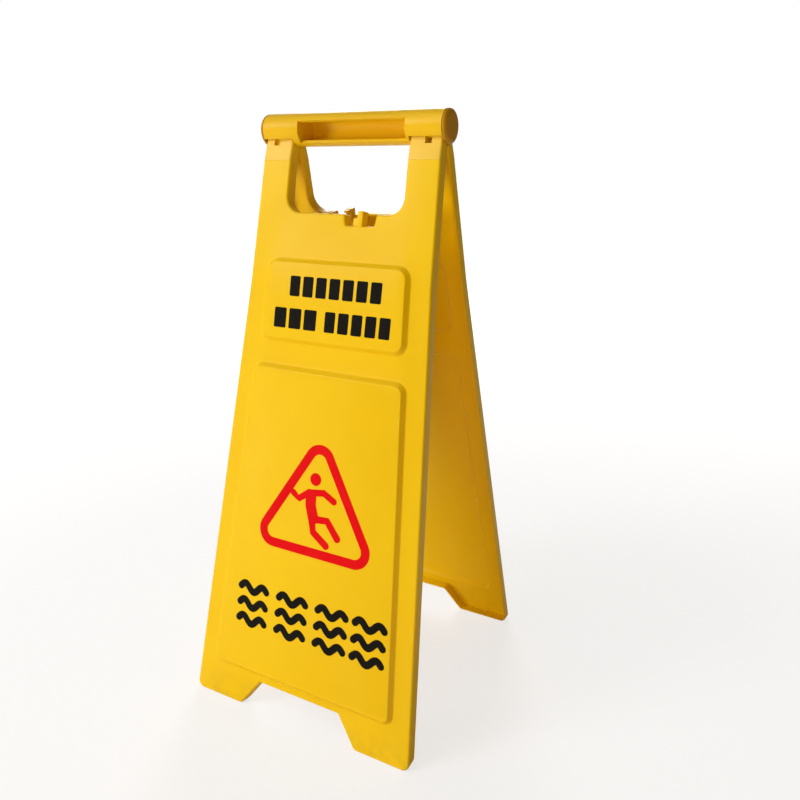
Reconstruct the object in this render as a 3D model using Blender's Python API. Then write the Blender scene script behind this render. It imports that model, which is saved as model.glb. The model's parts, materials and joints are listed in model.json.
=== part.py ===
"""A-frame floor sign: two identical moulded panels hinged under a barrel handle.

The origin is on the floor, midway between the feet. +Z is up, X runs along the handle and the
front panel faces -Y. The sign stands open. Lengths are in metres.

A panel is built in its own frame, hanging upright from the hinge axis: X across the panel, Z up
with the hinge axis at zero, and -Y out of its printed face. "Depth" is the distance out of the
hinge plane, which is -Y in that frame.
"""

from math import asin, atan2, copysign, cos, pi, radians, sin, tan

import bmesh
import bpy
from mathutils import Matrix, Vector

# Stance
LEAN = radians(12.705)
HINGE_HEIGHT = 0.6059

# Panel shell
WALL = 0.0022
FACE_DEPTH = 0.01306
RIM_DEPTH = 0.00028
EDGE_ROUND = 0.0025
INNER_ROUND = 0.0008
TOP_Z = 0.0042
TOP_HALF_WIDTH = 0.1022
KINK_Z = -0.1408
KINK_HALF_WIDTH = 0.1079
FOOT_HALF_WIDTH = 0.1400
CUTOUT_Z = -0.5911
CUTOUT_HALF_WIDTH = 0.0516
CUTOUT_FLOOR_HALF_WIDTH = 0.0749
OPENING_Z = -0.0722
OPENING_TOP_HALF_WIDTH = 0.0679
OPENING_HALF_WIDTH = 0.0688
OPENING_ROUND = 0.0170

# Pad at the top of each ear, and the notch in it
PAD_Z = -0.0199
PAD_RISE = 0.0004
PAD_FALL = 0.0022
NOTCH_CENTRE = 0.0879
NOTCH_HALF_WIDTH = 0.00365
NOTCH_Z = -0.0041
NOTCH_DEPTH = 0.0083

# Raised fields: top and bottom edge, half widths there, corner radii there
UPPER_FIELD = (-0.1194, -0.2080, 0.0851, 0.0897, 0.015, 0.013)
LOWER_FIELD = (-0.2317, -0.5824, 0.0932, 0.1173, 0.013, 0.011)
FIELD_RISE = 0.0046
FIELD_RAMP = ((0.0, 0.0), (0.0008, 0.0004), (0.0044, 0.0042), (0.0052, FIELD_RISE))
FIELD_INNER_SHIFT = 0.0010

# Latch: a gap in the opening's lower edge with a hooked post in it, to the right of the middle
GAP_LEFT = 0.0045
GAP_RIGHT = 0.0391
GAP_Z = -0.0836
POST_LEFT = 0.0125
RIB_LEFT = 0.0186
RIB_RIGHT = 0.0249
POST_TOP_Z = -0.0689
POST_FOOT_Z = -0.0853
WING_TOP_Z = -0.0757
WING_DEPTHS = (0.0075, 0.0100)
RIB_DEPTHS = (0.0030, 0.0129)
HOOK_REACH = 0.0012
HOOK_HEIGHT = 0.0024

# Hinge: pins, knuckles
PIN_RADIUS = 0.0016
BORE_RADIUS = 0.00175
KNUCKLE_RADIUS = 0.0034
KNUCKLE_INNER = (0.0689, 0.0845)
KNUCKLE_OUTER = (0.0853, 0.1009)
RELIEF_RADIUS = 0.0039
TOP_RELIEF_DEPTH = 0.0016
WEB_Z = -0.0150
WEB_TOP_Z = 0.0025

# Handle barrel
BARREL_RADIUS = 0.0165
BARREL_DROP = 0.0136
BARREL_WALL = 0.0032
BARREL_LEFT = 0.1027
BARREL_RIGHT = 0.1027
WINDOW_LEFT = 0.0591
WINDOW_RIGHT = 0.0645
WINDOW_TOP = radians(30)
WINDOW_BOTTOM = radians(-51)
BULKHEAD = 0.0022
HOUSING_BORE = 0.0105
BOSS_RADIUS = 0.0026
BOSS_START = 0.0550
BOSS_END = 0.0666
SLOT_START = 0.0672
SEAT_GAP = 0.0003
LIP_INSIDE = 0.01185
LIP_Z = 0.0048
PIN_SOCKET_START = 0.0620
PIN_SOCKET_IN_CAP = 0.0024

# End caps
CAP_GAP = 0.0004
CAP_THICKNESS = 0.0044
CAP_ROUND = 0.0048
CAP_ROUND_LENGTH = 0.0040
PLUG_LENGTH = 0.0080
PLUG_GAP = 0.0003
PLUG_WALL = 0.0018
CAP_BOSS = 0.0012

SMOOTH_ANGLE = radians(32)
OVERSHOOT = 0.01


# ---- scene helpers ----

def plastic(name, colour, roughness):
    """A plain moulded-plastic material."""
    material = bpy.data.materials.new(name)
    material.use_nodes = True
    shader = material.node_tree.nodes["Principled BSDF"]
    shader.inputs["Base Color"].default_value = (*colour, 1.0)
    shader.inputs["Roughness"].default_value = roughness
    return material


def steel(name):
    """A bright steel material."""
    material = plastic(name, (0.60, 0.60, 0.58), 0.3)
    material.node_tree.nodes["Principled BSDF"].inputs["Metallic"].default_value = 1.0
    return material


def object_from(mesh_builder, name):
    """A new object whose mesh is the given bmesh."""
    mesh = bpy.data.meshes.new(name)
    mesh_builder.to_mesh(mesh)
    mesh_builder.free()
    piece = bpy.data.objects.new(name, mesh)
    bpy.context.scene.collection.objects.link(piece)
    return piece


def combine(piece, tool, operation):
    """Adds the tool to the piece or cuts it away, and removes the tool."""
    modifier = piece.modifiers.new(operation, "BOOLEAN")
    modifier.object = tool
    modifier.operation = operation
    modifier.solver = "EXACT"
    bpy.context.view_layer.update()
    graph = bpy.context.evaluated_depsgraph_get()
    result = bpy.data.meshes.new_from_object(piece.evaluated_get(graph))
    piece.modifiers.clear()
    spent = piece.data
    piece.data = result
    result.name = piece.name
    bpy.data.meshes.remove(spent)
    bpy.data.objects.remove(tool)


def join(piece, tool):
    combine(piece, tool, "UNION")


def cut(piece, tool):
    combine(piece, tool, "DIFFERENCE")


def merge_flats(builder):
    """Makes each flat area one face."""
    bmesh.ops.dissolve_limit(
        builder,
        angle_limit=radians(0.05),
        verts=builder.verts[:],
        edges=builder.edges[:],
        delimit={"NORMAL"},
    )


def finish_mesh(piece, material):
    """Gives the piece its material and smooth shading with crisp edges."""
    builder = bmesh.new()
    builder.from_mesh(piece.data)
    merge_flats(builder)
    bmesh.ops.triangulate(builder, faces=builder.faces[:])
    builder.to_mesh(piece.data)
    builder.free()
    piece.data.materials.clear()
    piece.data.materials.append(material)
    piece.data.shade_smooth()
    piece.data.set_sharp_from_angle(angle=SMOOTH_ANGLE)


def box(low, high):
    """A block between two corners."""
    builder = bmesh.new()
    bmesh.ops.create_cube(builder, size=1.0)
    for vertex in builder.verts:
        for axis in range(3):
            vertex.co[axis] = high[axis] if vertex.co[axis] > 0 else low[axis]
    return object_from(builder, "block")


def prism(outline, start, end):
    """A solid with the given outline in the YZ plane, from X = start to X = end."""
    builder = bmesh.new()
    rim = [builder.verts.new((start, y, z)) for y, z in outline]
    face = builder.faces.new(rim)
    grown = bmesh.ops.extrude_face_region(builder, geom=[face])
    moved = [item for item in grown["geom"] if isinstance(item, bmesh.types.BMVert)]
    bmesh.ops.translate(builder, verts=moved, vec=(end - start, 0, 0))
    bmesh.ops.recalc_face_normals(builder, faces=builder.faces[:])
    return object_from(builder, "prism")


def circle_points(radius, centre_z, count, first=0.0, last=2 * pi):
    """Points (y, z) on a circle about the X direction; a full turn leaves out its last point."""
    full = abs(last - first - 2 * pi) < 1e-9
    steps = count if full else count - 1
    return [
        (radius * cos(first + (last - first) * k / steps),
         centre_z + radius * sin(first + (last - first) * k / steps))
        for k in range(count)
    ]


def rod(radius, centre_z, start, end, count=24):
    """A cylinder along X."""
    return prism(circle_points(radius, centre_z, count), start, end)


def span(side, near, far):
    """The range between two distances on one side, lowest first; side is -1 or 1."""
    return sorted((side * near, side * far))


# ---- panel ----

def rounded_loop(corners, inset):
    """Points (x, z) of a closed outline with rounded corners, moved into the material by inset.

    A corner is (x, z, radius, steps), and the corners run anticlockwise seen from outside.
    """
    edges = []
    for index, corner in enumerate(corners):
        following = corners[(index + 1) % len(corners)]
        start = Vector(corner[:2])
        along = (Vector(following[:2]) - start).normalized()
        inward = Vector((-along.y, along.x))
        edges.append((start + inset * inward, along))
    points = []
    for index, (_, _, radius, steps) in enumerate(corners):
        origin, before = edges[index - 1]
        target, after = edges[index]
        crossing = before.cross(after)
        corner = origin + before * ((target - origin).cross(after) / crossing)
        turn = atan2(crossing, before.dot(after))
        bend = max(0.0, radius - copysign(inset, turn))
        tangent = corner - before * (bend * tan(abs(turn) / 2))
        centre = tangent + Vector((-before.y, before.x)) * copysign(bend, turn)
        for step in range(steps + 1):
            angle = turn * step / max(steps, 1)
            spoke = Matrix.Rotation(angle, 2) @ (tangent - centre)
            points.append(centre + spoke if steps else corner)
    return points


def mirrored(corners):
    """The same corners on the left half, in the order that continues anticlockwise."""
    return [(-x, z, radius, steps) for x, z, radius, steps in reversed(corners)]


def outline_corners(depth):
    """Corners of the panel's outline at a depth; the feet are cut level with the floor."""
    floor_z = -(HINGE_HEIGHT + depth * sin(LEAN)) / cos(LEAN)
    face_floor_z = -(HINGE_HEIGHT + FACE_DEPTH * sin(LEAN)) / cos(LEAN)
    side_slope = (FOOT_HALF_WIDTH - KINK_HALF_WIDTH) / (KINK_Z - face_floor_z)
    foot_half_width = KINK_HALF_WIDTH + side_slope * (KINK_Z - floor_z)
    inner_slope = (CUTOUT_FLOOR_HALF_WIDTH - CUTOUT_HALF_WIDTH) / (CUTOUT_Z - face_floor_z)
    foot_inner = CUTOUT_HALF_WIDTH + inner_slope * (CUTOUT_Z - floor_z)
    right_low = [
        (CUTOUT_HALF_WIDTH, CUTOUT_Z, 0.003, 2),
        (foot_inner, floor_z, 0.007, 2),
        (foot_half_width, floor_z, 0.008, 3),
        (KINK_HALF_WIDTH, KINK_Z, 0.0, 0),
        (TOP_HALF_WIDTH, TOP_Z, 0.001, 1),
        (OPENING_TOP_HALF_WIDTH, TOP_Z, 0.001, 1),
        (OPENING_HALF_WIDTH, OPENING_Z, OPENING_ROUND, 6),
    ]
    latch_gap = [
        (GAP_RIGHT + 0.001, OPENING_Z, 0.0015, 2),
        (GAP_RIGHT - 0.001, GAP_Z, 0.003, 2),
        (GAP_LEFT + 0.001, GAP_Z, 0.003, 2),
        (GAP_LEFT - 0.001, OPENING_Z, 0.0015, 2),
    ]
    return right_low + latch_gap + mirrored(right_low)


def field_corners(field):
    """Corners of a raised field's outline."""
    top, bottom, top_half, bottom_half, top_round, bottom_round = field
    right = [(bottom_half, bottom, bottom_round, 4), (top_half, top, top_round, 4)]
    return right + mirrored(right)


def add_loop(builder, points, depth):
    """A ring of vertices at a depth."""
    return [builder.verts.new((x, -depth, z)) for x, z in points]


def bridge(builder, loops):
    """Faces between each two rings that follow each other."""
    for ring, following in zip(loops, loops[1:]):
        for index in range(len(ring)):
            after = (index + 1) % len(ring)
            builder.faces.new((ring[index], ring[after], following[after], following[index]))


def fill(builder, rings):
    """A flat face inside the first ring, with the other rings as holes."""
    edges = []
    for ring in rings:
        for index, vertex in enumerate(ring):
            after = ring[(index + 1) % len(ring)]
            edges.append(builder.edges.get((vertex, after)))
    bmesh.ops.triangle_fill(builder, use_beauty=True, use_dissolve=False, edges=edges)


def shell_profile():
    """(inset, depth) from the printed face round the rim to the inner face."""
    steps = 3
    profile = [
        (EDGE_ROUND * (1 - sin(pi / 2 * k / steps)),
         FACE_DEPTH - EDGE_ROUND * (1 - cos(pi / 2 * k / steps)))
        for k in range(steps + 1)
    ]
    inner_face = FACE_DEPTH - WALL
    profile.append((0.0, RIM_DEPTH))
    profile.append((WALL, RIM_DEPTH))
    profile.append((WALL, inner_face - INNER_ROUND))
    profile.append((WALL + INNER_ROUND, inner_face))
    return profile


def panel_shell():
    """The thin-walled shell with its flange and two raised fields."""
    builder = bmesh.new()
    loops = [
        add_loop(builder, rounded_loop(outline_corners(depth), inset), depth)
        for inset, depth in shell_profile()
    ]
    bridge(builder, loops)
    outer_holes = []
    inner_holes = []
    for field in (UPPER_FIELD, LOWER_FIELD):
        corners = field_corners(field)
        for holes, shift, depth in (
            (outer_holes, 0.0, FACE_DEPTH),
            (inner_holes, FIELD_INNER_SHIFT, FACE_DEPTH - WALL),
        ):
            ramp = [
                add_loop(builder, rounded_loop(corners, inset + shift), depth + rise)
                for inset, rise in FIELD_RAMP
            ]
            bridge(builder, ramp)
            builder.faces.new(ramp[-1])
            holes.append(ramp[0])
    fill(builder, [loops[0]] + outer_holes)
    fill(builder, [loops[-1]] + inner_holes)
    bmesh.ops.remove_doubles(builder, verts=builder.verts[:], dist=1e-6)
    for z in (PAD_Z, PAD_Z + PAD_RISE):
        geometry = builder.verts[:] + builder.edges[:] + builder.faces[:]
        bmesh.ops.bisect_plane(builder, geom=geometry, plane_co=(0, 0, z), plane_no=(0, 0, 1))
    raise_pads(builder)
    bmesh.ops.recalc_face_normals(builder, faces=builder.faces[:])
    return object_from(builder, "panel")


def pad_shift(z):
    """How far a pad stands out of the face at a height: it steps out, then leans back."""
    return PAD_RISE - PAD_FALL * (z - PAD_Z) / (TOP_Z - PAD_Z)


def raise_pads(builder):
    """Shapes the front wall where the ears carry their pads."""
    for vertex in builder.verts:
        if vertex.co.z > PAD_Z + PAD_RISE / 2 and -vertex.co.y > FACE_DEPTH / 2:
            vertex.co.y -= pad_shift(vertex.co.z)


def knuckle(start, end):
    """A ring round the hinge axis with a web out to the shell."""
    first = -pi / 2 - asin(RIM_DEPTH / KNUCKLE_RADIUS)
    last = pi - asin(WEB_TOP_Z / KNUCKLE_RADIUS)
    outline = circle_points(KNUCKLE_RADIUS, 0.0, 20, first, last)
    for z in (WEB_TOP_Z, WEB_Z):
        outline.append((-(FACE_DEPTH - WALL / 2 + pad_shift(z)), z))
    outline.append((-RIM_DEPTH, WEB_Z))
    return prism(outline, start, end)


def latch_post():
    """The hooked post that stands in the gap of the opening's lower edge."""
    rib = box((RIB_LEFT, -RIB_DEPTHS[1], POST_FOOT_Z), (RIB_RIGHT, -RIB_DEPTHS[0], POST_TOP_Z))
    wing_low = (POST_LEFT, -WING_DEPTHS[1], POST_FOOT_Z)
    wing_high = (RIB_LEFT + WALL, -WING_DEPTHS[0], WING_TOP_Z)
    join(rib, box(wing_low, wing_high))
    hook_low = (RIB_LEFT + 0.0004, -RIB_DEPTHS[0] - WALL, POST_TOP_Z - HOOK_HEIGHT)
    hook_high = (RIB_RIGHT - 0.0004, HOOK_REACH, POST_TOP_Z - 0.0002)
    join(rib, box(hook_low, hook_high))
    return rib


def panel_mesh():
    """The whole moulding: its right ear has the inner knuckle and its left ear the outer one."""
    panel = panel_shell()
    for side in (-1, 1):
        near, far = span(side, 0.0640, TOP_HALF_WIDTH + OVERSHOOT)
        cut(panel, rod(RELIEF_RADIUS, 0.0, near, far))
        low = (near, -TOP_RELIEF_DEPTH, 0.0)
        cut(panel, box(low, (far, OVERSHOOT, TOP_Z + OVERSHOOT)))
    join(panel, knuckle(*KNUCKLE_INNER))
    join(panel, knuckle(-KNUCKLE_OUTER[1], -KNUCKLE_OUTER[0]))
    for side in (-1, 1):
        centre = side * NOTCH_CENTRE
        low = (centre - NOTCH_HALF_WIDTH, -FACE_DEPTH - OVERSHOOT, NOTCH_Z)
        high = (centre + NOTCH_HALF_WIDTH, -NOTCH_DEPTH, TOP_Z + OVERSHOOT)
        cut(panel, box(low, high))
        cut(panel, rod(BORE_RADIUS, 0.0, *span(side, 0.0640, TOP_HALF_WIDTH + OVERSHOOT)))
    join(panel, latch_post())
    return panel


# ---- handle ----

def barrel_z():
    """Height of the barrel's own axis."""
    return HINGE_HEIGHT + BARREL_DROP


def seat_outline():
    """The space in a housing that the ears turn in, as (y, z) points.

    Its roof is parallel to the ears' tops, which meet it when the sign stands open. Outside the
    ears a lip is left that hangs in front of them.
    """
    reach = 0.03
    roof = HINGE_HEIGHT + (TOP_Z + SEAT_GAP) / cos(LEAN)
    eave = roof + LIP_INSIDE * tan(LEAN)
    lip = HINGE_HEIGHT + LIP_Z
    bottom = HINGE_HEIGHT - reach
    right = [(reach, bottom), (reach, lip), (LIP_INSIDE, lip), (LIP_INSIDE, eave)]
    return right + [(0.0, roof)] + [(-y, z) for y, z in reversed(right)]


def window_outline():
    """The wedge cut out of the barrel's front between the two housings."""
    reach = 2 * BARREL_RADIUS
    points = [(0.0, barrel_z())]
    for angle in (WINDOW_TOP, 0.0, WINDOW_BOTTOM):
        points.append((-reach * cos(angle), barrel_z() + reach * sin(angle)))
    return points


def handle_barrel():
    """The grip: two housings for the hinges and an open-fronted channel between them."""
    axis_z = barrel_z()
    inner = BARREL_RADIUS - BARREL_WALL
    barrel = rod(BARREL_RADIUS, axis_z, -BARREL_LEFT, BARREL_RIGHT, 56)
    cut(barrel, rod(inner, axis_z, -WINDOW_LEFT, WINDOW_RIGHT, 56))
    cut(barrel, prism(window_outline(), -WINDOW_LEFT, WINDOW_RIGHT))
    for side, window_end in ((-1, WINDOW_LEFT), (1, WINDOW_RIGHT)):
        end = BARREL_RIGHT + OVERSHOOT
        cut(barrel, rod(HOUSING_BORE, axis_z, *span(side, window_end + BULKHEAD, end), 48))
        join(barrel, rod(BOSS_RADIUS, HINGE_HEIGHT, *span(side, BOSS_START, BOSS_END)))
        cut(barrel, prism(seat_outline(), *span(side, SLOT_START, end)))
        cut(barrel, rod(BORE_RADIUS, HINGE_HEIGHT, *span(side, PIN_SOCKET_START, end)))
    return barrel


def end_cap(barrel_end):
    """A cap for the right: a disc with a rounded rim, a half-ring plug and a boss for the pin."""
    start = barrel_end + CAP_GAP
    steps = 4
    outline = [(0.0, start), (BARREL_RADIUS, start)]
    for step in range(steps + 1):
        angle = pi / 2 * step / steps
        outline.append((
            BARREL_RADIUS - CAP_ROUND * (1 - cos(angle)),
            start + CAP_THICKNESS - CAP_ROUND_LENGTH * (1 - sin(angle)),
        ))
    outline.append((0.0, start + CAP_THICKNESS))
    builder = bmesh.new()
    rim = [builder.verts.new((x, 0.0, radius)) for radius, x in outline]
    edges = [builder.edges.new(pair) for pair in zip(rim, rim[1:])]
    bmesh.ops.spin(
        builder, geom=rim + edges, cent=(0, 0, 0), axis=(1, 0, 0), angle=2 * pi, steps=56,
        use_merge=True,
    )
    bmesh.ops.remove_doubles(builder, verts=builder.verts[:], dist=1e-6)
    merge_flats(builder)
    bmesh.ops.recalc_face_normals(builder, faces=builder.faces[:])
    bmesh.ops.translate(builder, verts=builder.verts[:], vec=(0, 0, barrel_z()))
    cap = object_from(builder, "cap")
    join(cap, plug(start))
    join(cap, rod(BOSS_RADIUS, HINGE_HEIGHT, barrel_end - CAP_BOSS, start + 0.0015))
    cut(cap, rod(BORE_RADIUS, HINGE_HEIGHT, barrel_end - OVERSHOOT, start + PIN_SOCKET_IN_CAP))
    return cap


def plug(start):
    """Half a ring that fits inside the upper half of the barrel's end."""
    outer = HOUSING_BORE - PLUG_GAP
    inner = outer - PLUG_WALL
    reach = radians(8), radians(172)
    arc = circle_points(outer, barrel_z(), 25, *reach)
    arc += reversed(circle_points(inner, barrel_z(), 25, *reach))
    return prism(arc, start - PLUG_LENGTH, start + 0.0010)


def mirror_x(piece, name):
    """A mirror image of the piece on the other side, as its own object."""
    builder = bmesh.new()
    builder.from_mesh(piece.data)
    bmesh.ops.transform(builder, matrix=Matrix.Scale(-1, 4, (1, 0, 0)), verts=builder.verts[:])
    bmesh.ops.reverse_faces(builder, faces=builder.faces[:])
    return object_from(builder, name)


def hinge_pin(name, side, barrel_end):
    """A plain pin along the hinge axis, from the socket in the bulkhead to the one in the cap."""
    far = barrel_end + CAP_GAP + PIN_SOCKET_IN_CAP - SEAT_GAP
    pin = rod(PIN_RADIUS, 0.0, *span(side, PIN_SOCKET_START + SEAT_GAP, far))
    pin.name = name
    pin.location.z = HINGE_HEIGHT
    return pin


# ---- assembly ----

def main():
    for leftover in list(bpy.data.objects):
        bpy.data.objects.remove(leftover)

    yellow = plastic("yellow_plastic", (0.90, 0.56, 0.02), 0.38)
    grip_yellow = plastic("handle_plastic", (0.86, 0.50, 0.02), 0.36)
    pin_steel = steel("pin_steel")

    panel = panel_mesh()
    finish_mesh(panel, yellow)
    for name, turn in (("front_panel", 0.0), ("rear_panel", pi)):
        pivot = bpy.data.objects.new(name + "_pivot", None)
        bpy.context.scene.collection.objects.link(pivot)
        pivot.location.z = HINGE_HEIGHT
        pivot.rotation_euler.z = turn
        piece = bpy.data.objects.new(name, panel.data)
        bpy.context.scene.collection.objects.link(piece)
        piece.parent = pivot
        piece.rotation_euler.x = -LEAN
    bpy.data.objects.remove(panel)

    barrel = handle_barrel()
    barrel.name = "handle_barrel"
    finish_mesh(barrel, grip_yellow)

    right_cap = end_cap(BARREL_RIGHT)
    right_cap.name = "end_cap_right"
    left_pattern = end_cap(BARREL_LEFT)
    left_cap = mirror_x(left_pattern, "end_cap_left")
    bpy.data.objects.remove(left_pattern)
    for cap in (right_cap, left_cap):
        finish_mesh(cap, grip_yellow)

    finish_mesh(hinge_pin("hinge_pin_right", 1, BARREL_RIGHT), pin_steel)
    finish_mesh(hinge_pin("hinge_pin_left", -1, BARREL_LEFT), pin_steel)


main()
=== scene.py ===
"""Floor sign: plastic shells, printed marks, floor, light and camera round the CAD frame."""

import json
from math import asin, atan2, copysign, cos, pi, radians, sin, tan

import bmesh
import bpy
from mathutils import Matrix, Vector


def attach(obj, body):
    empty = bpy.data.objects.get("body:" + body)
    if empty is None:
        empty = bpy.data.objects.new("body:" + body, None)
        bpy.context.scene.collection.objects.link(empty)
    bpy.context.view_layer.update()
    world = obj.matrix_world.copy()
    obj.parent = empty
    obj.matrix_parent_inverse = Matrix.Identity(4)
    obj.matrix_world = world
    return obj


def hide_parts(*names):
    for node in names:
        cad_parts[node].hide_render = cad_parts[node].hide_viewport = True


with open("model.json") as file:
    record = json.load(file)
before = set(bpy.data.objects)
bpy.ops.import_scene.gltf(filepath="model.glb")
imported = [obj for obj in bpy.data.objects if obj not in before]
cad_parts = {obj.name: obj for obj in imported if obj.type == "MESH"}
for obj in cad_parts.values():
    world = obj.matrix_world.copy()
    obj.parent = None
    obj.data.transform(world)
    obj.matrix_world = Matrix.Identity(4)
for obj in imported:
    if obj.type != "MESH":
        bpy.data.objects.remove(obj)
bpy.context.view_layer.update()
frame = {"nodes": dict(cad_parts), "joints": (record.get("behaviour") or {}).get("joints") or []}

# Stance, as in the CAD
LEAN = radians(12.705)
HINGE_HEIGHT = frame["joints"][0]["pos_m"][2]

# Panel shell
WALL = 0.0022
FACE_DEPTH = 0.01306
RIM_DEPTH = 0.00028
EDGE_ROUND = 0.0025
RIM_ROUND = 0.0004
INNER_ROUND = 0.0008
TOP_Z = 0.0042
TOP_HALF_WIDTH = 0.1022
KINK_Z = -0.1408
KINK_HALF_WIDTH = 0.1079
FOOT_HALF_WIDTH = 0.1400
CUTOUT_Z = -0.5911
CUTOUT_HALF_WIDTH = 0.0516
CUTOUT_FLOOR_HALF_WIDTH = 0.0749
OPENING_Z = -0.0722
OPENING_TOP_HALF_WIDTH = 0.0679
OPENING_HALF_WIDTH = 0.0688
OPENING_ROUND = 0.0170
PAD_Z = -0.0199
PAD_RISE = 0.0004
PAD_FALL = 0.0022
NOTCH_CENTRE = 0.0879
NOTCH_HALF_WIDTH = 0.00365
NOTCH_Z = -0.0041
NOTCH_DEPTH = 0.0083
UPPER_FIELD = (-0.1194, -0.2080, 0.0851, 0.0897, 0.015, 0.013)
LOWER_FIELD = (-0.2317, -0.5824, 0.0932, 0.1173, 0.013, 0.011)
FIELD_RISE = 0.0046
FIELD_RUN = 0.0052
FIELD_BLEND = 0.16
FIELD_INNER_SHIFT = 0.0010

# Latch
GAP_LEFT = 0.0045
GAP_RIGHT = 0.0391
GAP_Z = -0.0836
POST_LEFT = 0.0125
RIB_LEFT = 0.0186
RIB_RIGHT = 0.0249
POST_TOP_Z = -0.0689
POST_FOOT_Z = -0.0853
WING_TOP_Z = -0.0757
WING_DEPTHS = (0.0075, 0.0100)
RIB_DEPTHS = (0.0030, 0.0129)
HOOK_REACH = 0.0012
HOOK_HEIGHT = 0.0024

# Knuckles
BORE_RADIUS = 0.00175
KNUCKLE_RADIUS = 0.0034
KNUCKLE_INNER = (0.0689, 0.0845)
KNUCKLE_OUTER = (0.0853, 0.1009)
RELIEF_RADIUS = 0.0039
TOP_RELIEF_DEPTH = 0.0016
WEB_Z = -0.0150
WEB_TOP_Z = 0.0025

# Handle barrel and caps
BARREL_RADIUS = 0.0165
BARREL_DROP = 0.0136
BARREL_WALL = 0.0032
BARREL_LEFT = 0.1027
BARREL_RIGHT = 0.1027
BARREL_SIDES = 144
WINDOW_LEFT = 0.0591
WINDOW_RIGHT = 0.0645
WINDOW_TOP = radians(30)
WINDOW_BOTTOM = radians(-51)
BULKHEAD = 0.0022
HOUSING_BORE = 0.0105
BOSS_RADIUS = 0.0026
BOSS_START = 0.0550
BOSS_END = 0.0666
SLOT_START = 0.0672
EAR_CLEARANCE_START = 0.0640
SEAT_GAP = 0.0003
LIP_INSIDE = 0.01185
LIP_Z = 0.0048
PIN_SOCKET_START = 0.0620
PIN_SOCKET_IN_CAP = 0.0024
CAP_GAP = 0.0004
CAP_THICKNESS = 0.0044
CAP_ROUND = 0.0048
CAP_ROUND_LENGTH = 0.0040
PLUG_LENGTH = 0.0080
PLUG_GAP = 0.0003
PLUG_WALL = 0.0018
CAP_BOSS = 0.0012

# Printed marks: thickness of the ink, and how far it stands above the plateau
INK_TOP = FACE_DEPTH + FIELD_RISE + 0.00010
INK_BOTTOM = FACE_DEPTH + FIELD_RISE - 0.00005

SMOOTH_ANGLE = radians(32)
OVERSHOOT = 0.01


# ---- mesh helpers ----

def object_from(builder, name):
    mesh = bpy.data.meshes.new(name)
    builder.to_mesh(mesh)
    builder.free()
    piece = bpy.data.objects.new(name, mesh)
    bpy.context.scene.collection.objects.link(piece)
    return piece


def combine(piece, tool, operation):
    modifier = piece.modifiers.new(operation, "BOOLEAN")
    modifier.object = tool
    modifier.operation = operation
    modifier.solver = "EXACT"
    bpy.context.view_layer.update()
    graph = bpy.context.evaluated_depsgraph_get()
    result = bpy.data.meshes.new_from_object(piece.evaluated_get(graph))
    piece.modifiers.clear()
    spent = piece.data
    piece.data = result
    bpy.data.meshes.remove(spent)
    bpy.data.objects.remove(tool)


def join(piece, tool):
    combine(piece, tool, "UNION")


def cut(piece, tool):
    combine(piece, tool, "DIFFERENCE")


def merge_flats(builder):
    bmesh.ops.dissolve_limit(
        builder,
        angle_limit=radians(0.05),
        verts=builder.verts[:],
        edges=builder.edges[:],
        delimit={"NORMAL"},
    )


def finish_mesh(piece, *materials):
    builder = bmesh.new()
    builder.from_mesh(piece.data)
    merge_flats(builder)
    bmesh.ops.triangulate(builder, faces=builder.faces[:])
    builder.to_mesh(piece.data)
    builder.free()
    piece.data.materials.clear()
    for material in materials:
        piece.data.materials.append(material)
    piece.data.shade_smooth()
    piece.data.set_sharp_from_angle(angle=SMOOTH_ANGLE)


def block(low, high, rounding=0.0):
    """A block between two corners, with its edges rounded."""
    builder = bmesh.new()
    bmesh.ops.create_cube(builder, size=1.0)
    for vertex in builder.verts:
        for axis in range(3):
            vertex.co[axis] = high[axis] if vertex.co[axis] > 0 else low[axis]
    if rounding:
        bmesh.ops.bevel(
            builder, geom=builder.edges[:], offset=rounding, segments=3, profile=0.5,
            affect="EDGES", clamp_overlap=True,
        )
    return object_from(builder, "block")


def prism(outline, start, end):
    """A solid with the given outline in the YZ plane, from X = start to X = end."""
    builder = bmesh.new()
    rim = [builder.verts.new((start, y, z)) for y, z in outline]
    face = builder.faces.new(rim)
    grown = bmesh.ops.extrude_face_region(builder, geom=[face])
    moved = [item for item in grown["geom"] if isinstance(item, bmesh.types.BMVert)]
    bmesh.ops.translate(builder, verts=moved, vec=(end - start, 0, 0))
    bmesh.ops.recalc_face_normals(builder, faces=builder.faces[:])
    return object_from(builder, "prism")


def circle_points(radius, centre_z, count, first=0.0, last=2 * pi):
    full = abs(last - first - 2 * pi) < 1e-9
    steps = count if full else count - 1
    return [
        (radius * cos(first + (last - first) * k / steps),
         centre_z + radius * sin(first + (last - first) * k / steps))
        for k in range(count)
    ]


def rod(radius, centre_z, start, end, count=40):
    return prism(circle_points(radius, centre_z, count), start, end)


def span(side, near, far):
    """The range between two distances on one side, lowest first."""
    return sorted((side * near, side * far))


# ---- panel ----

def rounded_loop(corners, inset):
    """Points of a closed outline with rounded corners, moved into the material by inset."""
    edges = []
    for index, corner in enumerate(corners):
        following = corners[(index + 1) % len(corners)]
        start = Vector(corner[:2])
        along = (Vector(following[:2]) - start).normalized()
        inward = Vector((-along.y, along.x))
        edges.append((start + inset * inward, along))
    points = []
    for index, (_, _, radius, steps) in enumerate(corners):
        origin, before = edges[index - 1]
        target, after = edges[index]
        crossing = before.cross(after)
        corner = origin + before * ((target - origin).cross(after) / crossing)
        turn = atan2(crossing, before.dot(after))
        bend = max(0.0, radius - copysign(inset, turn))
        tangent = corner - before * (bend * tan(abs(turn) / 2))
        centre = tangent + Vector((-before.y, before.x)) * copysign(bend, turn)
        for step in range(steps + 1):
            angle = turn * step / max(steps, 1)
            spoke = Matrix.Rotation(angle, 2) @ (tangent - centre)
            points.append(centre + spoke if steps else corner)
    return points


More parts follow.
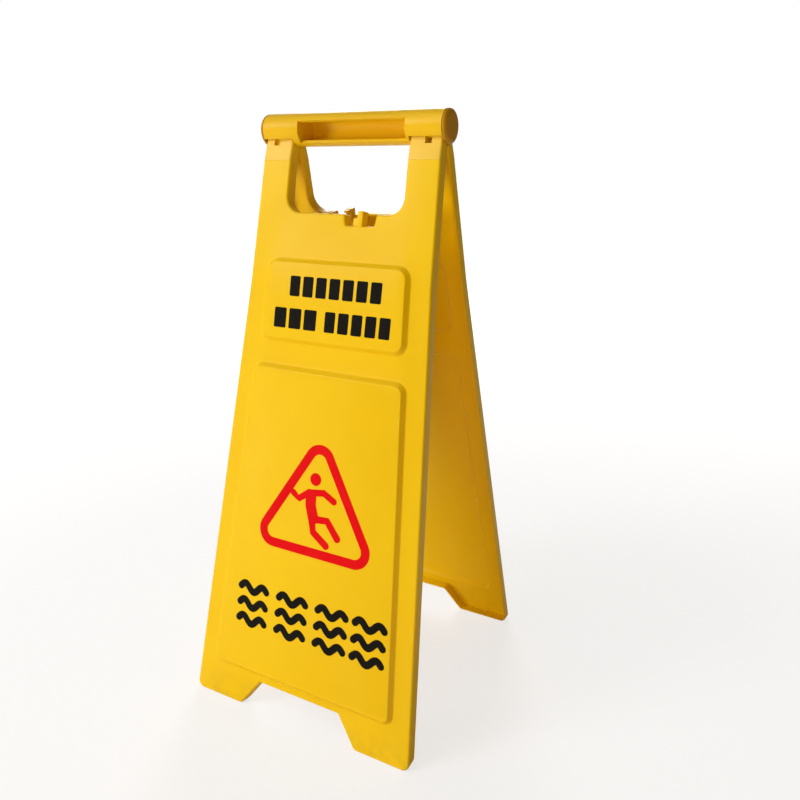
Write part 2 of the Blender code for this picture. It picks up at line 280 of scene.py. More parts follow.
def mirrored(corners):
    return [(-x, z, radius, steps) for x, z, radius, steps in reversed(corners)]


def outline_corners(depth):
    """Corners of the panel's outline at a depth; the feet are cut level with the floor."""
    floor_z = -(HINGE_HEIGHT + depth * sin(LEAN)) / cos(LEAN)
    face_floor_z = -(HINGE_HEIGHT + FACE_DEPTH * sin(LEAN)) / cos(LEAN)
    side_slope = (FOOT_HALF_WIDTH - KINK_HALF_WIDTH) / (KINK_Z - face_floor_z)
    foot_half_width = KINK_HALF_WIDTH + side_slope * (KINK_Z - floor_z)
    inner_slope = (CUTOUT_FLOOR_HALF_WIDTH - CUTOUT_HALF_WIDTH) / (CUTOUT_Z - face_floor_z)
    foot_inner = CUTOUT_HALF_WIDTH + inner_slope * (CUTOUT_Z - floor_z)
    right_low = [
        (CUTOUT_HALF_WIDTH, CUTOUT_Z, 0.003, 6),
        (foot_inner, floor_z, 0.007, 7),
        (foot_half_width, floor_z, 0.008, 9),
        (KINK_HALF_WIDTH, KINK_Z, 0.0, 0),
        (TOP_HALF_WIDTH, TOP_Z, 0.001, 3),
        (OPENING_TOP_HALF_WIDTH, TOP_Z, 0.001, 3),
        (OPENING_HALF_WIDTH, OPENING_Z, OPENING_ROUND, 16),
    ]
    latch_gap = [
        (GAP_RIGHT + 0.001, OPENING_Z, 0.0015, 5),
        (GAP_RIGHT - 0.001, GAP_Z, 0.003, 6),
        (GAP_LEFT + 0.001, GAP_Z, 0.003, 6),
        (GAP_LEFT - 0.001, OPENING_Z, 0.0015, 5),
    ]
    return right_low + latch_gap + mirrored(right_low)


def field_corners(field):
    top, bottom, top_half, bottom_half, top_round, bottom_round = field
    right = [(bottom_half, bottom, bottom_round, 12), (top_half, top, top_round, 12)]
    return right + mirrored(right)


def add_loop(builder, points, depth):
    return [builder.verts.new((x, -depth, z)) for x, z in points]


def bridge(builder, loops):
    for ring, following in zip(loops, loops[1:]):
        for index in range(len(ring)):
            after = (index + 1) % len(ring)
            builder.faces.new((ring[index], ring[after], following[after], following[index]))


def fill(builder, rings):
    edges = []
    for ring in rings:
        for index, vertex in enumerate(ring):
            after = ring[(index + 1) % len(ring)]
            edges.append(builder.edges.get((vertex, after)))
    bmesh.ops.triangle_fill(builder, use_beauty=True, use_dissolve=False, edges=edges)


def quarter_round(steps):
    """(1 - cosine, 1 - sine) of the angles in a quarter turn."""
    angles = [pi / 2 * step / steps for step in range(steps + 1)]
    return [(1 - cos(angle), 1 - sin(angle)) for angle in angles]


def shell_profile():
    """(inset, depth) from the printed face round the rim to the inner face."""
    inner_face = FACE_DEPTH - WALL
    outer_edge = [
        (EDGE_ROUND * across, FACE_DEPTH - EDGE_ROUND * down) for down, across in quarter_round(8)
    ]
    rim_outside = [
        (RIM_ROUND * across, RIM_DEPTH + RIM_ROUND * down) for across, down in quarter_round(3)
    ]
    rim_inside = [
        (WALL - RIM_ROUND * across, RIM_DEPTH + RIM_ROUND * down)
        for down, across in quarter_round(3)
    ]
    inner_corner = [
        (WALL + INNER_ROUND * across, inner_face - INNER_ROUND * down)
        for across, down in quarter_round(3)
    ]
    return outer_edge + rim_outside + rim_inside + inner_corner


def field_ramp():
    """(inset, rise) of a field's shoulder: a straight slope with a small round at each end."""
    steps = 16
    points = []
    for step in range(steps + 1):
        share = step / steps
        if share < FIELD_BLEND:
            height = share ** 2 / (2 * FIELD_BLEND)
        elif share <= 1 - FIELD_BLEND:
            height = share - FIELD_BLEND / 2
        else:
            height = 1 - FIELD_BLEND - (1 - share) ** 2 / (2 * FIELD_BLEND)
        points.append((FIELD_RUN * share, FIELD_RISE * height / (1 - FIELD_BLEND)))
    return points


def panel_shell():
    builder = bmesh.new()
    loops = [
        add_loop(builder, rounded_loop(outline_corners(depth), inset), depth)
        for inset, depth in shell_profile()
    ]
    bridge(builder, loops)
    outer_holes = []
    inner_holes = []
    for field in (UPPER_FIELD, LOWER_FIELD):
        corners = field_corners(field)
        for holes, shift, depth in (
            (outer_holes, 0.0, FACE_DEPTH),
            (inner_holes, FIELD_INNER_SHIFT, FACE_DEPTH - WALL),
        ):
            ramp = [
                add_loop(builder, rounded_loop(corners, inset + shift), depth + rise)
                for inset, rise in field_ramp()
            ]
            bridge(builder, ramp)
            builder.faces.new(ramp[-1])
            holes.append(ramp[0])
    fill(builder, [loops[0]] + outer_holes)
    fill(builder, [loops[-1]] + inner_holes)
    bmesh.ops.remove_doubles(builder, verts=builder.verts[:], dist=1e-6)
    for z in (PAD_Z, PAD_Z + PAD_RISE):
        geometry = builder.verts[:] + builder.edges[:] + builder.faces[:]
        bmesh.ops.bisect_plane(builder, geom=geometry, plane_co=(0, 0, z), plane_no=(0, 0, 1))
    for vertex in builder.verts:
        if vertex.co.z > PAD_Z + PAD_RISE / 2 and -vertex.co.y > FACE_DEPTH / 2:
            vertex.co.y -= pad_shift(vertex.co.z)
    bmesh.ops.recalc_face_normals(builder, faces=builder.faces[:])
    return object_from(builder, "panel")


def pad_shift(z):
    """How far a pad stands out of the face at a height: it steps out, then leans back."""
    return PAD_RISE - PAD_FALL * (z - PAD_Z) / (TOP_Z - PAD_Z)


def knuckle(start, end):
    first = -pi / 2 - asin(RIM_DEPTH / KNUCKLE_RADIUS)
    last = pi - asin(WEB_TOP_Z / KNUCKLE_RADIUS)
    outline = circle_points(KNUCKLE_RADIUS, 0.0, 40, first, last)
    for z in (WEB_TOP_Z, WEB_Z):
        outline.append((-(FACE_DEPTH - WALL / 2 + pad_shift(z)), z))
    outline.append((-RIM_DEPTH, WEB_Z))
    return prism(outline, start, end)


def latch_post():
    rib = block((RIB_LEFT, -RIB_DEPTHS[1], POST_FOOT_Z), (RIB_RIGHT, -RIB_DEPTHS[0], POST_TOP_Z),
                0.0005)
    wing_low = (POST_LEFT, -WING_DEPTHS[1], POST_FOOT_Z)
    wing_high = (RIB_LEFT + WALL, -WING_DEPTHS[0], WING_TOP_Z)
    join(rib, block(wing_low, wing_high, 0.0004))
    hook_low = (RIB_LEFT + 0.0004, -RIB_DEPTHS[0] - WALL, POST_TOP_Z - HOOK_HEIGHT)
    hook_high = (RIB_RIGHT - 0.0004, HOOK_REACH, POST_TOP_Z - 0.0002)
    join(rib, block(hook_low, hook_high, 0.0006))
    return rib


def panel_piece():
    """The whole moulding, in its own frame."""
    panel = panel_shell()
    for side in (-1, 1):
        near, far = span(side, EAR_CLEARANCE_START, TOP_HALF_WIDTH + OVERSHOOT)
        cut(panel, rod(RELIEF_RADIUS, 0.0, near, far))
        low = (near, -TOP_RELIEF_DEPTH, 0.0)
        cut(panel, block(low, (far, OVERSHOOT, TOP_Z + OVERSHOOT)))
    join(panel, knuckle(*KNUCKLE_INNER))
    join(panel, knuckle(-KNUCKLE_OUTER[1], -KNUCKLE_OUTER[0]))
    for side in (-1, 1):
        centre = side * NOTCH_CENTRE
        low = (centre - NOTCH_HALF_WIDTH, -FACE_DEPTH - OVERSHOOT, NOTCH_Z)
        high = (centre + NOTCH_HALF_WIDTH, -NOTCH_DEPTH, TOP_Z + OVERSHOOT)
        cut(panel, block(low, high))
        ends = span(side, EAR_CLEARANCE_START, TOP_HALF_WIDTH + OVERSHOOT)
        cut(panel, rod(BORE_RADIUS, 0.0, *ends))
    join(panel, latch_post())
    return panel


# ---- handle ----

def barrel_z():
    return HINGE_HEIGHT + BARREL_DROP


def seat_outline():
    """The space in a housing that the ears turn in, as (y, z) points.

    Its roof is parallel to the ears' tops, which meet it when the sign stands open. Outside the
    ears a lip is left that hangs in front of them.
    """
    reach = 0.03
    roof = HINGE_HEIGHT + (TOP_Z + SEAT_GAP) / cos(LEAN)
    eave = roof + LIP_INSIDE * tan(LEAN)
    lip = HINGE_HEIGHT + LIP_Z
    bottom = HINGE_HEIGHT - reach
    right = [(reach, bottom), (reach, lip), (LIP_INSIDE, lip), (LIP_INSIDE, eave)]
    return right + [(0.0, roof)] + [(-y, z) for y, z in reversed(right)]


def window_outline():
    reach = 2 * BARREL_RADIUS
    points = [(0.0, barrel_z())]
    for angle in (WINDOW_TOP, 0.0, WINDOW_BOTTOM):
        points.append((-reach * cos(angle), barrel_z() + reach * sin(angle)))
    return points


def soften_window(piece):
    """Rounds the edges of the window in the barrel's front."""
    builder = bmesh.new()
    builder.from_mesh(piece.data)
    picked = []
    for edge in builder.edges:
        if not edge.is_manifold or edge.calc_face_angle(0.0) < radians(35):
            continue
        points = [vertex.co for vertex in edge.verts]
        if all(-WINDOW_LEFT - 1e-5 < p.x < WINDOW_RIGHT + 1e-5 and p.y < -0.005 for p in points):
            picked.append(edge)
    bmesh.ops.bevel(
        builder, geom=picked, offset=0.0009, segments=4, profile=0.5, affect="EDGES",
        clamp_overlap=True,
    )
    builder.to_mesh(piece.data)
    builder.free()


def barrel_piece():
    axis_z = barrel_z()
    inner = BARREL_RADIUS - BARREL_WALL
    sides = BARREL_SIDES
    barrel = rod(BARREL_RADIUS, axis_z, -BARREL_LEFT, BARREL_RIGHT, sides)
    cut(barrel, rod(inner, axis_z, -WINDOW_LEFT, WINDOW_RIGHT, sides))
    cut(barrel, prism(window_outline(), -WINDOW_LEFT, WINDOW_RIGHT))
    soften_window(barrel)
    for side, window_end in ((-1, WINDOW_LEFT), (1, WINDOW_RIGHT)):
        end = BARREL_RIGHT + OVERSHOOT
        cut(barrel, rod(HOUSING_BORE, axis_z, *span(side, window_end + BULKHEAD, end), 96))
        join(barrel, rod(BOSS_RADIUS, HINGE_HEIGHT, *span(side, BOSS_START, BOSS_END)))
        cut(barrel, prism(seat_outline(), *span(side, SLOT_START, end)))
        cut(barrel, rod(BORE_RADIUS, HINGE_HEIGHT, *span(side, PIN_SOCKET_START, end)))
    return barrel


def cap_piece(barrel_end):
    """A cap for the right-hand end."""
    start = barrel_end + CAP_GAP
    steps = 10
    lip = 0.0004
    outline = [(0.0, start), (BARREL_RADIUS - lip, start), (BARREL_RADIUS, start + lip)]
    for step in range(steps + 1):
        angle = pi / 2 * step / steps
        outline.append((
            BARREL_RADIUS - CAP_ROUND * (1 - cos(angle)),
            start + CAP_THICKNESS - CAP_ROUND_LENGTH * (1 - sin(angle)),
        ))
    outline.append((0.0, start + CAP_THICKNESS))
    builder = bmesh.new()
    rim = [builder.verts.new((x, 0.0, radius)) for radius, x in outline]
    edges = [builder.edges.new(pair) for pair in zip(rim, rim[1:])]
    bmesh.ops.spin(
        builder, geom=rim + edges, cent=(0, 0, 0), axis=(1, 0, 0), angle=2 * pi,
        steps=BARREL_SIDES, use_merge=True,
    )
    bmesh.ops.remove_doubles(builder, verts=builder.verts[:], dist=1e-6)
    merge_flats(builder)
    bmesh.ops.recalc_face_normals(builder, faces=builder.faces[:])
    bmesh.ops.translate(builder, verts=builder.verts[:], vec=(0, 0, barrel_z()))
    cap = object_from(builder, "cap")
    outer = HOUSING_BORE - PLUG_GAP
    reach = radians(8), radians(172)
    arc = circle_points(outer, barrel_z(), 49, *reach)
    arc += reversed(circle_points(outer - PLUG_WALL, barrel_z(), 49, *reach))
    join(cap, prism(arc, start - PLUG_LENGTH, start + 0.0010))
    join(cap, rod(BOSS_RADIUS, HINGE_HEIGHT, barrel_end - CAP_BOSS, start + 0.0015))
    cut(cap, rod(BORE_RADIUS, HINGE_HEIGHT, barrel_end - OVERSHOOT, start + PIN_SOCKET_IN_CAP))
    return cap


# ---- printed marks ----

def ink(outline):
    """A thin layer of ink with an outline given as (across, up) points in the panel's frame."""
    builder = bmesh.new()
    rim = [builder.verts.new((x, -INK_BOTTOM, z)) for x, z in outline]
    face = builder.faces.new(rim)
    grown = bmesh.ops.extrude_face_region(builder, geom=[face])
    moved = [item for item in grown["geom"] if isinstance(item, bmesh.types.BMVert)]
    bmesh.ops.translate(builder, verts=moved, vec=(0, INK_BOTTOM - INK_TOP, 0))
    bmesh.ops.recalc_face_normals(builder, faces=builder.faces[:])
    return object_from(builder, "ink")


def gather(pieces, name):
    """One object from several that don't touch."""
    builder = bmesh.new()
    for piece in pieces:
        builder.from_mesh(piece.data)
        bpy.data.objects.remove(piece)
    return object_from(builder, name)


def round_polygon(points, radius, steps=10):
    return rounded_loop([(x, z, radius, steps) for x, z in points], 0.0)


def round_end(end, inner, half_width, steps):
    """Half a circle round the end of a path that comes from the point inner."""
    heading = end - inner
    angle = atan2(heading.y, heading.x)
    return [
        end + half_width * Vector((cos(angle - pi / 2 + pi * k / steps),
                                   sin(angle - pi / 2 + pi * k / steps)))
        for k in range(1, steps)
    ]


def stroke(path, half_width, steps=12):
    """A closed outline round a path, with round ends."""
    path = [Vector(point) for point in path]
    left = []
    right = []
    count = len(path)
    for index, point in enumerate(path):
        before = path[max(index - 1, 0)]
        after = path[min(index + 1, count - 1)]
        along = (after - before).normalized()
        side = Vector((-along.y, along.x)) * half_width
        left.append(point + side)
        right.append(point - side)
    end_cap = round_end(path[-1], path[-2], half_width, steps)
    start_cap = round_end(path[0], path[1], half_width, steps)
    return right + end_cap + list(reversed(left)) + start_cap


def wave_block(left, right, bottom, top):
    """Three wavy strokes, one above the other."""
    half = 0.0040
    swing = 0.0042
    turns = 1.5
    rows = 3
    steps = 28
    pieces = []
    for row in range(rows):
        middle = bottom + half + swing + (top - bottom - 2 * half - 2 * swing) * row / (rows - 1)
        path = []
        for k in range(steps + 1):
            x = left + half + (right - left - 2 * half) * k / steps
            path.append((x, middle + swing * sin(2 * pi * turns * k / steps)))
        pieces.append(ink(stroke(path, half)))
    return pieces


def disc(x, z, radius, count=48):
    return ink([(x + radius * cos(2 * pi * k / count), z + radius * sin(2 * pi * k / count))
                for k in range(count)])


def word(edges, bottom, top):
    """A placeholder word: one plain block for each letter's width."""
    return [
        ink(round_polygon([(left, bottom), (right, bottom), (right, top), (left, top)], 0.0016, 5))
        for left, right in edges
    ]


def letters(left, right, count, gap=0.0036):
    """Equal letter widths between two ends."""
    width = (right - left - gap * (count - 1)) / count
    return [(left + k * (width + gap), left + k * (width + gap) + width) for k in range(count)]


def black_marks():
    """Plain blocks in the upper field where words go, and four blocks of water waves below."""
    first_row = (-0.1587, -0.1377)
    second_row = (-0.1925, -0.1714)
    pieces = word(letters(-0.0521, 0.0574, 7), *first_row)
    pieces += word(letters(-0.0691, -0.0162, 3), *second_row)
    pieces += word(letters(-0.0058, 0.0706, 5), *second_row)
    wave_width = 0.0426
    wave_row = (-0.5289, -0.4754)
    for centre in (-0.0668, -0.0152, 0.0354, 0.0815):
        pieces += wave_block(centre - wave_width / 2, centre + wave_width / 2, *wave_row)
    return gather(pieces, "black_marks")


def red_marks():
    """A rounded triangle with a person slipping in it."""
    middle = 0.0042
    apex_z = -0.2911
    base_z = -0.4293
    half = 0.0836
    bend = 0.0185
    line_width = 0.0102
    ends = ((middle - half, base_z), (middle + half, base_z), (middle, apex_z))
    corners = [(x, z, bend, 18) for x, z in ends]
    triangle = ink(rounded_loop(corners, 0.0))
    hole = ink(rounded_loop(corners, line_width))
    depth = (INK_TOP + INK_BOTTOM) / 2
    hole.data.transform(Matrix.Translation((0, depth, 0)))
    hole.data.transform(Matrix.Scale(4.0, 4, (0, 1, 0)))
    hole.data.transform(Matrix.Translation((0, -depth, 0)))
    cut(triangle, hole)
    arm = 0.0037
    leg = 1.12 * arm
    torso = 0.0066
    body = ink(stroke([(-0.0029, -0.3636), (-0.0024, -0.3741), (0.0021, -0.3870)], torso))
    limbs = (
        ([(-0.0053, -0.3606), (-0.0177, -0.3696), (-0.0254, -0.3646)], arm),
        ([(-0.0024, -0.3606), (0.0125, -0.3581), (0.0254, -0.3646)], arm),
        ([(0.0031, -0.3880), (0.0194, -0.3865), (0.0333, -0.4025)], leg),
        ([(0.0006, -0.3900), (0.0036, -0.4020), (0.0204, -0.4130)], leg),
    )
    for path, half_width in limbs:
        join(body, ink(stroke(path, half_width)))
    head = disc(0.0011, -0.3456, 0.0068)
    return gather([triangle, body, head], "red_marks")


# ---- materials ----

class Nodes:
    """Adds shader nodes to a material or a world with little typing."""

    def __init__(self, owner):
        self.tree = owner.node_tree

    def add(self, kind, settings=None, **inputs):
        node = self.tree.nodes.new("ShaderNode" + kind)
        for key, value in (settings or {}).items():
            setattr(node, key, value)
        for key, value in inputs.items():
            self.plug(node.inputs[key.replace("_", " ")], value)
        return node

    def plug(self, socket, value):
        if isinstance(value, bpy.types.NodeSocket):
            self.tree.links.new(value, socket)
        else:
            socket.default_value = value

    def math(self, operation, first, second):
        node = self.add("Math", {"operation": operation})
        self.plug(node.inputs[0], first)
        self.plug(node.inputs[1], second)
        return node.outputs[0]

    def blend(self, share, first, second):
        """A number between two numbers."""
        node = self.add("Mix")
        self.plug(node.inputs[0], share)
        self.plug(node.inputs[2], first)
        self.plug(node.inputs[3], second)
        return node.outputs[0]

    def mix(self, share, first, second):
        """A colour between two colours."""
        node = self.add("Mix", {"data_type": "RGBA"})
        self.plug(node.inputs[0], share)
        self.plug(node.inputs[6], first)
        self.plug(node.inputs[7], second)
        return node.outputs[2]

    def ramp(self, value, low, high, from_value=0.0, to_value=1.0):
        node = self.add("MapRange", {"clamp": True})
        self.plug(node.inputs[0], value)
        self.plug(node.inputs[1], low)
        self.plug(node.inputs[2], high)
        self.plug(node.inputs[3], from_value)
        self.plug(node.inputs[4], to_value)
        return node.outputs[0]

    def noise(self, vector, scale, detail=2.0, rough=0.5):
        return self.add("TexNoise", None, Vector=vector, Scale=scale, Detail=detail,
                        Roughness=rough).outputs["Fac"]

    def stretched(self, scale):
        place = self.add("TexCoord").outputs["Object"]
        return self.add("Mapping", None, Vector=place, Scale=scale).outputs["Vector"]


class Surface(Nodes):
    """A new material with a Principled shader."""

    def __init__(self, name):
        self.material = bpy.data.materials.new(name)
        self.material.use_nodes = True
        super().__init__(self.material)
        self.shader = self.tree.nodes["Principled BSDF"]


def edge_wear(n, place):
    """Where a convex edge is rubbed pale: near the edge, in patches."""
    rounded = n.add("Bevel", {"samples": 6}, Radius=0.0011)
    flat = n.add("NewGeometry").outputs["Normal"]
    product = n.add("VectorMath", {"operation": "DOT_PRODUCT"})
    n.plug(product.inputs[0], rounded.outputs["Normal"])
    n.plug(product.inputs[1], flat)
    edge = n.ramp(product.outputs["Value"], 0.995, 0.90)
    patch = n.ramp(n.noise(place, 90.0, 4.0, 0.65), 0.50, 0.66)
    return n.math("MULTIPLY", n.math("MULTIPLY", edge, patch), 0.55)


def scuffs(n, place):
    """Fine lines across the panel, in some places only."""
    lines = n.noise(n.stretched((30.0, 30.0, 420.0)), 1.0, 5.0, 0.7)
    area = n.ramp(n.noise(place, 11.0), 0.52, 0.66)
    return n.math("MULTIPLY", n.ramp(lines, 0.66, 0.74), area)


def soil(n, place):
    """A trace of dirt just above the floor."""
    height = n.add("SeparateXYZ", None, Vector=place).outputs["Z"]
    specks = n.ramp(n.noise(place, 60.0, 5.0, 0.7), 0.42, 0.72)
    return n.math("MULTIPLY", n.ramp(height, 0.035, 0.0), specks)


def moulded_skin(n, place, scuff):
    """The surface normal: a fine moulding grain, dented by the scuffs, over softened edges."""
    grain = n.noise(place, 2600.0, 2.0, 0.6)
    skin = n.noise(place, 700.0, 2.0)
    height = n.math("ADD", n.math("MULTIPLY", grain, 0.35), n.math("MULTIPLY", skin, 0.65))
    height = n.math("SUBTRACT", height, n.math("MULTIPLY", scuff, 0.5))
    edge = n.add("Bevel", {"samples": 4}, Radius=0.0004).outputs["Normal"]
    bump = n.add("Bump", None, Strength=0.22, Distance=0.00010, Height=height, Normal=edge)
    return bump.outputs["Normal"]


def plastic(name, colour, pale, deep, roughness):
    """Moulded polypropylene: fine skin texture, slow colour drift, scuffs and paler worn edges."""
    n = Surface(name)
    place = n.add("TexCoord").outputs["Object"]
    slow = n.noise(place, 7.0, 3.0)
    flow = n.noise(n.stretched((18.0, 18.0, 3.0)), 1.0, 3.0)
    worn = edge_wear(n, place)
    scuff = scuffs(n, place)
    dirt = (0.30, 0.20, 0.05, 1.0)
    base = n.mix(n.ramp(slow, 0.35, 0.68), (*colour, 1.0), (*deep, 1.0))
    base = n.mix(n.ramp(flow, 0.55, 0.85, 0.0, 0.35), base, (*pale, 1.0))
    base = n.mix(worn, base, (*pale, 1.0))
    base = n.mix(n.math("MULTIPLY", soil(n, place), 0.30), base, dirt)
    base = n.mix(n.math("MULTIPLY", scuff, 0.10), base, (*pale, 1.0))
    dull = n.ramp(slow, 0.3, 0.7, roughness - 0.03, roughness + 0.04)
    dull = n.math("ADD", dull, n.math("MULTIPLY", scuff, 0.10))
    dull = n.math("ADD", dull, n.math("MULTIPLY", worn, 0.18))
    n.plug(n.shader.inputs["Base Color"], base)
    n.plug(n.shader.inputs["Roughness"], dull)
    n.plug(n.shader.inputs["Normal"], moulded_skin(n, place, scuff))
    n.shader.inputs["IOR"].default_value = 1.49
    n.shader.inputs["Specular IOR Level"].default_value = 0.24
    return n.material


def print_ink(name, colour, faded, roughness):
    """Screen-printed ink: almost even, slightly thinner in patches, with a few fine scratches."""
    n = Surface(name)
    place = n.add("TexCoord").outputs["Object"]
    patch = n.noise(place, 45.0, 4.0, 0.6)
    mesh_marks = n.noise(place, 1500.0, 1.0)
    base = n.mix(n.ramp(patch, 0.45, 0.75, 0.0, 0.6), (*colour, 1.0), (*faded, 1.0))
    lines = n.noise(n.stretched((40.0, 40.0, 600.0)), 1.0, 4.0, 0.7)
    base = n.mix(n.ramp(lines, 0.70, 0.76, 0.0, 0.35), base, (*faded, 1.0))
    bump = n.add("Bump", None, Strength=0.15, Distance=0.00005, Height=mesh_marks)
    n.plug(n.shader.inputs["Base Color"], base)
    n.plug(n.shader.inputs["Roughness"],
           n.ramp(patch, 0.3, 0.7, roughness - 0.05, roughness + 0.08))
    n.plug(n.shader.inputs["Normal"], bump.outputs["Normal"])
    n.shader.inputs["Specular IOR Level"].default_value = 0.10
    return n.material


def drawn_steel(name):
    """Bright drawn wire with fine lines along it."""
    n = Surface(name)
    lines = n.noise(n.stretched((60.0, 3000.0, 3000.0)), 1.0, 3.0, 0.6)
    tone = n.noise(n.add("TexCoord").outputs["Object"], 120.0, 3.0)
    n.plug(n.shader.inputs["Base Color"],
           n.mix(n.ramp(tone, 0.35, 0.7), (0.62, 0.62, 0.60, 1.0), (0.45, 0.44, 0.42, 1.0)))
    n.plug(n.shader.inputs["Roughness"], n.ramp(lines, 0.3, 0.7, 0.24, 0.42))
    bump = n.add("Bump", None, Strength=0.25, Distance=0.00003, Height=lines)
    n.plug(n.shader.inputs["Normal"], bump.outputs["Normal"])
    n.shader.inputs["Metallic"].default_value = 1.0
    return n.material


YELLOW = plastic("yellow_plastic_finish", (0.89, 0.580, 0.0015), (0.91, 0.64, 0.03),
                 (0.87, 0.550, 0.002), 0.36)
# A paler, less saturated copy of the yellow for the ears' pads: painted sheen, for pads that catch
# more light.
PAD_SHEEN_YELLOW = plastic("pad_painted_sheen_finish", (0.89, 0.59, 0.06), (0.91, 0.64, 0.11),
                     (0.88, 0.57, 0.05), 0.36)
GRIP_YELLOW = plastic("grip_plastic_finish", (0.86, 0.530, 0.006), (0.91, 0.64, 0.08),
                      (0.84, 0.500, 0.005), 0.34)
# The caps get a much darker copy of the yellow: painted shade, for end faces that turn away from
# the light.
CAP_SHADED_YELLOW = plastic("cap_painted_shade_finish", (0.52, 0.260, 0.004), (0.68, 0.40, 0.05),
                     (0.49, 0.240, 0.004), 0.40)
BLACK_INK = print_ink("black_ink_finish", (0.006, 0.0055, 0.005), (0.014, 0.012, 0.009), 0.60)
RED_INK = print_ink("red_ink_finish", (0.76, 0.002, 0.006), (0.80, 0.012, 0.010), 0.60)
STEEL = drawn_steel("pin_steel_finish")


# ---- the sign ----

def mark_pads(piece):
    """Gives the pad at the top of each ear the paler, less saturated yellow, which is painted
    sheen.
    """
    for polygon in piece.data.polygons:
        centre = polygon.center
        outside = centre.y < -(FACE_DEPTH - WALL / 2 + pad_shift(centre.z))
        if outside and centre.z > PAD_Z + PAD_RISE / 2:
            polygon.material_index = 1


def stand(piece, turn):
    """Moves a piece from the panel's own frame to where that panel stands."""
    tilt = Matrix.Rotation(-LEAN, 4, "X")
    place = Matrix.Translation((0, 0, HINGE_HEIGHT)) @ Matrix.Rotation(turn, 4, "Z") @ tilt
    piece.data.transform(place)


def copy_of(piece, name):
    twin = bpy.data.objects.new(name, piece.data.copy())
    bpy.context.scene.collection.objects.link(twin)
    return twin


def add_panels():
    shell = panel_piece()
    # The second material, for the pads, carries painted sheen.
    finish_mesh(shell, YELLOW, PAD_SHEEN_YELLOW)
    mark_pads(shell)
    black = black_marks()
    finish_mesh(black, BLACK_INK)
    red = red_marks()
    finish_mesh(red, RED_INK)
    for side, turn in (("front", 0.0), ("rear", pi)):
        panel = copy_of(shell, side + "_panel_shell")
        stand(panel, turn)
        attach(panel, side)
        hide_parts(side + "_panel")
        for marks in (black, red):
            layer = copy_of(marks, side + "_" + marks.name)
            stand(layer, turn)
            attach(layer, side)
    for spent in (shell, black, red):
        bpy.data.objects.remove(spent)


def add_handle():
    barrel = barrel_piece()
    barrel.name = "handle_barrel_shell"
    finish_mesh(barrel, GRIP_YELLOW)
    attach(barrel, "handle")
    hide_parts("handle_barrel")
    right = cap_piece(BARREL_RIGHT)
    right.name = "end_cap_right_shell"
    # The caps take the darker yellow, which carries painted shade.
    finish_mesh(right, CAP_SHADED_YELLOW)
    pattern = cap_piece(BARREL_LEFT)
    builder = bmesh.new()
    builder.from_mesh(pattern.data)
    bpy.data.objects.remove(pattern)
    bmesh.ops.transform(builder, matrix=Matrix.Scale(-1, 4, (1, 0, 0)), verts=builder.verts[:])
    bmesh.ops.reverse_faces(builder, faces=builder.faces[:])
    left = object_from(builder, "end_cap_left_shell")
    finish_mesh(left, CAP_SHADED_YELLOW)
    for cap, node in ((right, "end_cap_right"), (left, "end_cap_left")):
        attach(cap, "handle")
        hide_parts(node)
    for node in ("hinge_pin_left", "hinge_pin_right"):
        pin = frame["nodes"][node]
        pin.data.materials.clear()
        pin.data.materials.append(STEEL)


add_panels()
add_handle()


# ---- floor, light and camera ----

def add_floor():
    """A white floor that keeps only a soft trace of the sign's shadow."""
    builder = bmesh.new()
    bmesh.ops.create_grid(builder, x_segments=1, y_segments=1, size=30.0)
    floor = object_from(builder, "floor")
    n = Surface("floor_finish")
    path = n.add("LightPath").outputs["Is Camera Ray"]
    n.plug(n.shader.inputs["Base Color"],
           n.mix(path, (0.80, 0.80, 0.80, 1.0), (0.30, 0.30, 0.30, 1.0)))
    n.shader.inputs["Roughness"].default_value = 1.0
    n.shader.inputs["Specular IOR Level"].default_value = 0.0
    n.shader.inputs["Emission Color"].default_value = (1.0, 1.0, 1.0, 1.0)
    place = n.add("NewGeometry").outputs["Position"]
    away = n.add("VectorMath", {"operation": "LENGTH"})
    n.plug(away.inputs[0], place)
    glow = n.ramp(away.outputs["Value"], 0.5, 2.6, 0.72, 1.0)
    n.plug(n.shader.inputs["Emission Strength"], n.math("MULTIPLY", path, glow))
    floor.data.materials.append(n.material)


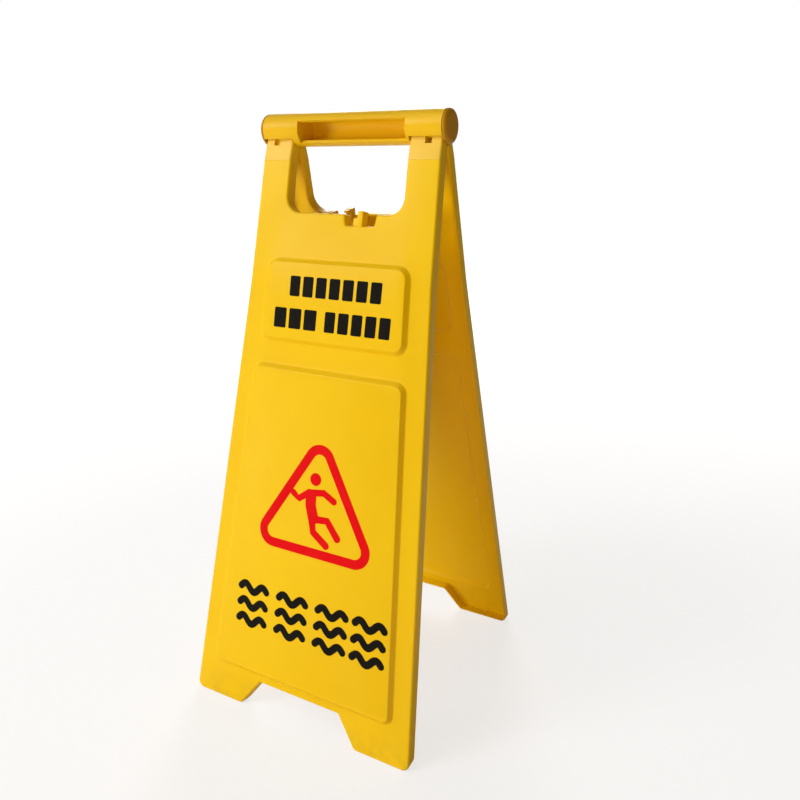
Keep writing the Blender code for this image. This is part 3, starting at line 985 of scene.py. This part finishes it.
def add_light(name, place, target, size, power, colour=(1.0, 1.0, 1.0), shine=True):
    data = bpy.data.lights.new(name, "AREA")
    data.shape = "DISK"
    data.size = size
    data.energy = power
    data.color = colour
    lamp = bpy.data.objects.new(name, data)
    bpy.context.scene.collection.objects.link(lamp)
    lamp.location = place
    lamp.visible_glossy = shine
    heading = Vector(target) - Vector(place)
    lamp.rotation_euler = heading.to_track_quat("-Z", "Y").to_euler()


def add_world():
    """White to the camera; to the sign, a dim room that is darker and warmer on the right."""
    world = bpy.data.worlds.new("studio")
    bpy.context.scene.world = world
    world.use_nodes = True
    n = Nodes(world)
    background = n.tree.nodes["Background"]
    place = n.add("TexCoord").outputs["Generated"]
    across = n.add("SeparateXYZ", None, Vector=place).outputs["X"]
    camera = n.add("LightPath").outputs["Is Camera Ray"]
    white = (1.0, 1.0, 1.0, 1.0)
    brightness = n.ramp(across, -1.0, 0.7, 0.42, 0.10)
    n.plug(background.inputs["Strength"], n.blend(camera, brightness, 1.0))
    colour = n.mix(n.ramp(across, -0.6, 0.6), white, (1.0, 0.74, 0.32, 1.0))
    n.plug(background.inputs["Color"], n.mix(camera, colour, white))


def add_camera():
    data = bpy.data.cameras.new("camera")
    data.sensor_width = 36.0
    data.lens = 32.216
    camera = bpy.data.objects.new("camera", data)
    bpy.context.scene.collection.objects.link(camera)
    place = Vector((0.39910, -0.65749, 0.58367))
    camera.location = place
    heading = Vector((0.05126, 0.0, 0.34079)) - place
    camera.rotation_euler = heading.to_track_quat("-Z", "Y").to_euler()
    bpy.context.scene.camera = camera


add_floor()
add_light("key", (-2.05, -2.25, 2.15), (0.0, 0.0, 0.22), 1.3, 28.0)
add_light("low", (-2.15, -2.45, 0.20), (0.0, 0.0, 0.0), 1.3, 61.0, shine=False)
add_light("top", (-0.6, -1.1, 2.6), (0.0, 0.0, 0.50), 1.2, 9.0)
add_light("fill", (0.95, -1.95, 0.30), (0.0, 0.0, 0.20), 0.8, 9.0, (1.0, 0.66, 0.22))
add_light("back", (-1.1, 2.4, 1.7), (0.0, 0.0, 0.30), 1.4, 42.0)
add_world()
add_camera()
bpy.context.scene.view_settings.view_transform = "Standard"
